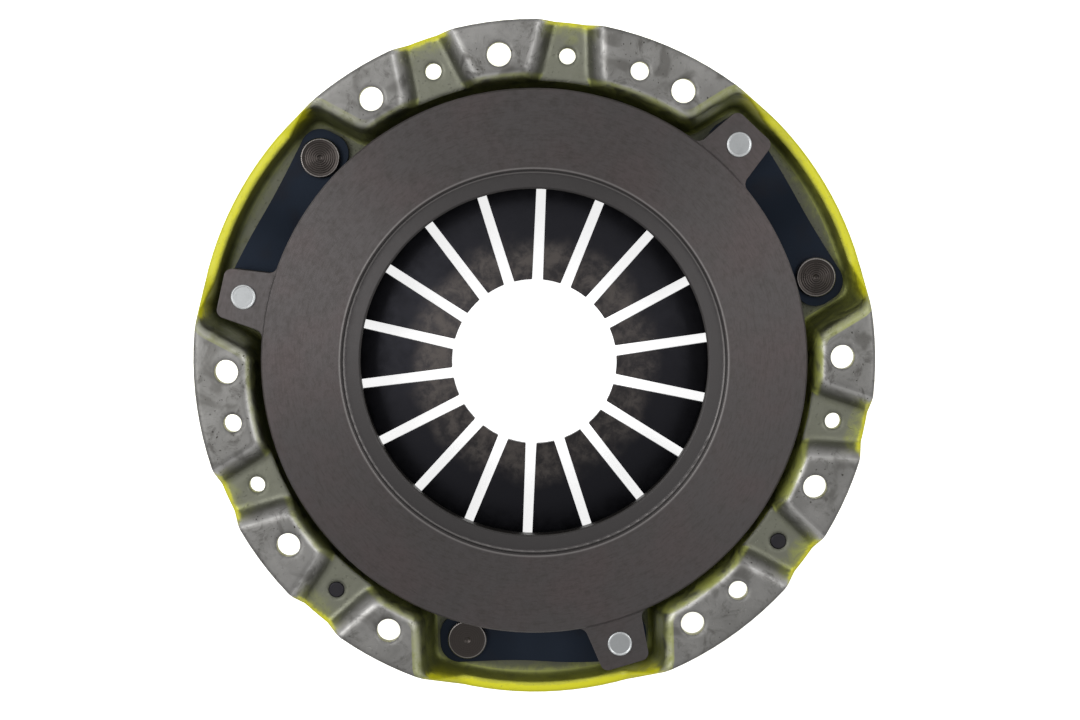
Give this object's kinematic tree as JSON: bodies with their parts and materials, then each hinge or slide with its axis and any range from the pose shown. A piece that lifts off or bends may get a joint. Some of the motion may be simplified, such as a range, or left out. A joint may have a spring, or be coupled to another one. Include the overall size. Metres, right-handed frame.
{
  "type": "clutch pressure plate",
  "caption": "Pull-type clutch cover assembly: pressed cover with strap pockets, cast pressure plate with lugs, coned finger spring and riveted drive straps.",
  "frame": {"origin": "centre of the bolt circle on the mounting face of the cover's flange", "axes": "+Z along the turning axis towards the flywheel, +Y through the middle bolt hole of one third of the flange"},
  "size_m": [0.2984, 0.3008, 0.0364],
  "materials": {
    "pressed_steel": "bare pressed steel, worn on the pads, with yellow-green paint in the pockets",
    "cast_iron": "ground friction face, dull sides",
    "finger_steel": "blued spring steel with brown temper colours",
    "strap_steel": "blued spring steel, satin",
    "dark_rivet": "dark steel with an oily film",
    "bright_rivet": "bright zinc plate",
    "ring_wire": "plain steel wire"
  },
  "bodies": {
    "cover_assembly": {"cover": "pressed_steel", "diaphragm_spring": "finger_steel", "pivot_ring": "ring_wire", "drive_strap_1_leaf_1": "strap_steel", "drive_strap_1_leaf_2": "strap_steel", "drive_strap_1_leaf_3": "strap_steel", "drive_strap_1_leaf_4": "strap_steel", "drive_strap_2_leaf_1": "strap_steel", "drive_strap_2_leaf_2": "strap_steel", "drive_strap_2_leaf_3": "strap_steel", "drive_strap_2_leaf_4": "strap_steel", "drive_strap_3_leaf_1": "strap_steel", "drive_strap_3_leaf_2": "strap_steel", "drive_strap_3_leaf_3": "strap_steel", "drive_strap_3_leaf_4": "strap_steel", "strap_cover_rivet_1": "dark_rivet", "strap_cover_rivet_2": "dark_rivet", "strap_cover_rivet_3": "dark_rivet", "balance_rivet_1": "dark_rivet", "balance_rivet_2": "dark_rivet"},
    "plate_assembly": {"pressure_plate": "cast_iron", "strap_lug_rivet_1": "bright_rivet", "strap_lug_rivet_2": "bright_rivet", "strap_lug_rivet_3": "bright_rivet"}
  },
  "joints": [
    {"name": "plate_slide", "type": "slide", "parent": "cover_assembly", "child": "plate_assembly", "axis": [0, 0, 1], "range_m": [-0.006, 0], "stiffness_N_per_m": 200000, "deforming": ["diaphragm_spring", "drive_strap_1_leaf_1", "drive_strap_1_leaf_2", "drive_strap_1_leaf_3", "drive_strap_1_leaf_4", "drive_strap_2_leaf_1", "drive_strap_2_leaf_2", "drive_strap_2_leaf_3", "drive_strap_2_leaf_4", "drive_strap_3_leaf_1", "drive_strap_3_leaf_2", "drive_strap_3_leaf_3", "drive_strap_3_leaf_4"]}
  ]
}
